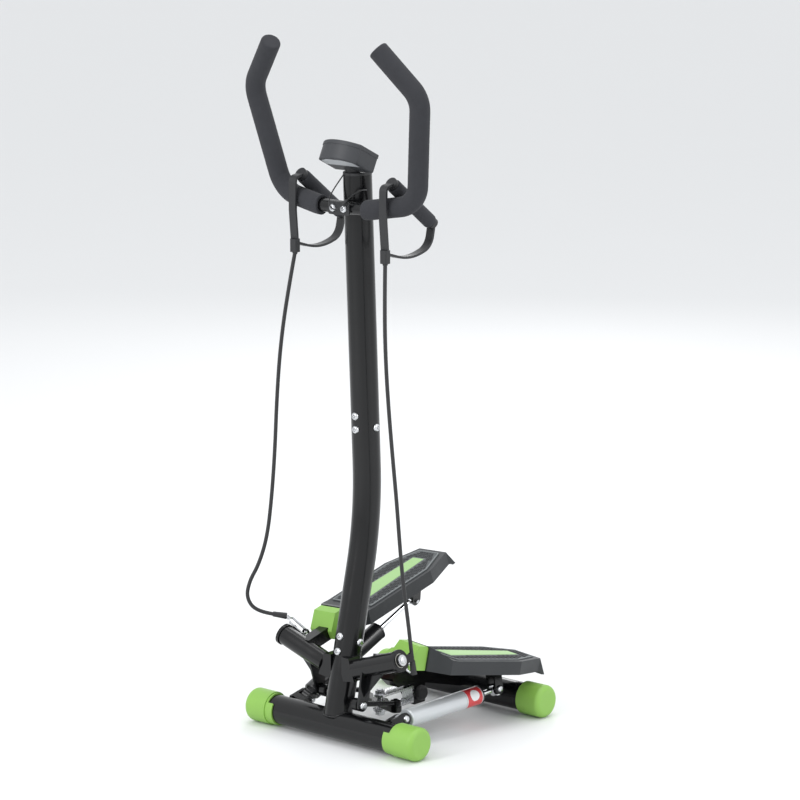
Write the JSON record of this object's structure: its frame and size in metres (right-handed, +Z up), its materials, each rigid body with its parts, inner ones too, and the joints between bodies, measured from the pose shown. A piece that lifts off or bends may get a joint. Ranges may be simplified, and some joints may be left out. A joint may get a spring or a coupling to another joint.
{
  "type": "twist stepper",
  "caption": "Compact twist stepper with a bent post, bow handlebar, tilted console, elastic bands, and two damped pedals linked by a rocker.",
  "frame": {"origin": "on the floor under the centre of the base", "axes": "+Z up, -Y towards the post and handlebar, +X to the right"},
  "size_m": [0.3936, 0.4021, 1.1838],
  "materials": {
    "black_paint": "gloss black powder paint",
    "green_plastic": "moulded bright green plastic",
    "foam": "matt charcoal foam",
    "zinc": "bright zinc plate",
    "chrome": "hard chrome",
    "grey_plastic": "fine-textured dark grey ABS",
    "black_plastic": "fine-textured black plastic",
    "rubber": "smooth black latex and rubber",
    "lcd": "grey-green display under a clear window",
    "damper_silver": "silver label film with a red band",
    "damper_black": "satin black paint",
    "bush_nylon": "plain nylon",
    "pedal_plastic": "slate grey moulded plastic",
    "tread_rubber": "gridded tread with a pale green strip"
  },
  "bodies": {
    "frame": {"front_crossbar": "black_paint", "rear_crossbar": "black_paint", "center_beam": "black_paint", "hanger_box": "black_paint", "base_post": "black_paint", "lower_post_tube": "black_paint", "upper_post_tube": "black_paint", "handlebar_tube": "black_paint", "pivot_brackets": "black_paint", "damper_forks": "black_paint", "eye_straps": "black_paint", "front_end_caps": "green_plastic", "rear_end_caps": "green_plastic", "left_foam_grip": "foam", "right_foam_grip": "foam", "frame_bolts": "zinc", "axle_end_bolts": "zinc", "rocker_clevis": "zinc", "rocker_bolt": "zinc", "pivot_axles": "zinc", "snap_hooks": "zinc", "console_case": "grey_plastic", "console_bezel": "grey_plastic", "console_neck": "black_plastic", "post_top_plug": "black_plastic", "saddle_plate": "black_plastic", "handle_straps": "black_plastic", "band_ends": "black_plastic", "sensor_plug": "black_plastic", "hanger_bumpers": "rubber", "left_band": "rubber", "right_band": "rubber", "sensor_lead": "rubber", "display_lens": "lcd"},
    "rocker": {"rocker": "black_paint"},
    "mode_button": {"mode_button": "black_plastic"},
    "right_pedal": {"right_sleeve": "black_paint", "right_bushes": "bush_nylon", "right_pedal_arm": "black_paint", "right_pedal_plate": "pedal_plastic", "right_tread": "tread_rubber", "right_toe_cover": "green_plastic", "right_pedal_bolts": "zinc"},
    "right_damper": {"right_damper_body": "damper_silver"},
    "right_rod": {"right_damper_rod": "chrome"},
    "right_tie": {"right_tie_rod": "black_paint"},
    "right_grip": {"right_handle_grip": "foam"},
    "right_gate": {"right_hook_gate": "zinc"},
    "left_pedal": {"left_sleeve": "black_paint", "left_bushes": "bush_nylon", "left_pedal_arm": "black_paint", "left_pedal_plate": "pedal_plastic", "left_tread": "tread_rubber", "left_toe_cover": "green_plastic", "left_pedal_bolts": "zinc"},
    "left_damper": {"left_damper_body": "damper_black"},
    "left_rod": {"left_damper_rod": "chrome"},
    "left_tie": {"left_tie_rod": "black_paint"},
    "left_grip": {"left_handle_grip": "foam"},
    "left_gate": {"left_hook_gate": "zinc"}
  },
  "joints": [
    {"name": "right_pedal_pivot", "type": "hinge", "parent": "frame", "child": "right_pedal", "pos_m": [0.1324, -0.153, 0.1601], "axis": [0.9483, 0, 0.3173], "range_deg": [0, 27.5]},
    {"name": "left_pedal_pivot", "type": "hinge", "parent": "frame", "child": "left_pedal", "pos_m": [-0.1324, -0.153, 0.1601], "axis": [0.9483, 0, -0.3173], "range_deg": [-27.5, 0]},
    {"name": "rocker_pivot", "type": "hinge", "parent": "frame", "child": "rocker", "pos_m": [0, -0.055, 0.042], "axis": [0, 0, 1], "range_deg": [0, 32.36]},
    {"name": "right_tie_swing", "type": "hinge", "parent": "rocker", "child": "right_tie", "pos_m": [0.04802, -0.06893, 0.0465], "axis": [0, 0, 1], "range_deg": [-32.36, 0]},
    {"name": "right_damper_swing", "type": "hinge", "parent": "frame", "child": "right_damper", "pos_m": [0.108, -0.123, 0.047], "axis": [0.9437, -0.0646, 0.3244], "range_deg": [0, 27.99]},
    {"name": "right_rod_slide", "type": "slide", "parent": "right_damper", "child": "right_rod", "axis": [0.0612, 0.9979, 0.0206], "range_m": [0, 0.04927]},
    {"name": "left_tie_swing", "type": "hinge", "parent": "rocker", "child": "left_tie", "pos_m": [-0.04802, -0.04107, 0.0465], "axis": [0, 0, 1], "range_deg": [-32.36, 0]},
    {"name": "left_damper_swing", "type": "hinge", "parent": "frame", "child": "left_damper", "pos_m": [-0.108, -0.123, 0.047], "axis": [0.9437, 0.0646, -0.3244], "range_deg": [-27.99, 0]},
    {"name": "left_rod_slide", "type": "slide", "parent": "left_damper", "child": "left_rod", "axis": [0.0985, 0.8814, 0.462], "range_m": [-0.04927, 0]},
    {"name": "mode_button_press", "type": "slide", "parent": "frame", "child": "mode_button", "axis": [0, -0.4384, -0.8988], "range_m": [0, 0.0012], "stiffness_N_per_m": 300},
    {"name": "right_grip_spin", "type": "hinge", "parent": "frame", "child": "right_grip", "pos_m": [0.1, -0.129, 0.9475], "axis": [0, 0.7968, -0.6042], "continuous": true},
    {"name": "left_grip_spin", "type": "hinge", "parent": "frame", "child": "left_grip", "pos_m": [-0.1, -0.129, 0.9475], "axis": [0, 0.7968, -0.6042], "continuous": true},
    {"name": "right_gate_hinge", "type": "hinge", "parent": "frame", "child": "right_gate", "pos_m": [0.12033, -0.11248, 0.13996], "axis": [0.8038, 0, 0.5949], "range_deg": [0, 12], "stiffness_Nm_per_rad": 0.02},
    {"name": "left_gate_hinge", "type": "hinge", "parent": "frame", "child": "left_gate", "pos_m": [-0.12314, -0.14407, 0.17814], "axis": [0.7169, 0, 0.6972], "range_deg": [0, 12], "stiffness_Nm_per_rad": 0.02}
  ],
  "couplings": [
    {"joint": "left_pedal_pivot", "follows": "right_pedal_pivot", "ratio": -1},
    {"joint": "rocker_pivot", "follows": "right_pedal_pivot", "ratio": 1.1767},
    {"joint": "right_tie_swing", "follows": "right_pedal_pivot", "ratio": -1.1767},
    {"joint": "left_tie_swing", "follows": "right_pedal_pivot", "ratio": -1.1767},
    {"joint": "right_damper_swing", "follows": "right_pedal_pivot", "ratio": 1.0179},
    {"joint": "left_damper_swing", "follows": "right_pedal_pivot", "ratio": -1.0179},
    {"joint": "right_rod_slide", "follows": "right_pedal_pivot", "m_per_rad": 0.10265},
    {"joint": "left_rod_slide", "follows": "right_pedal_pivot", "m_per_rad": -0.10265}
  ]
}
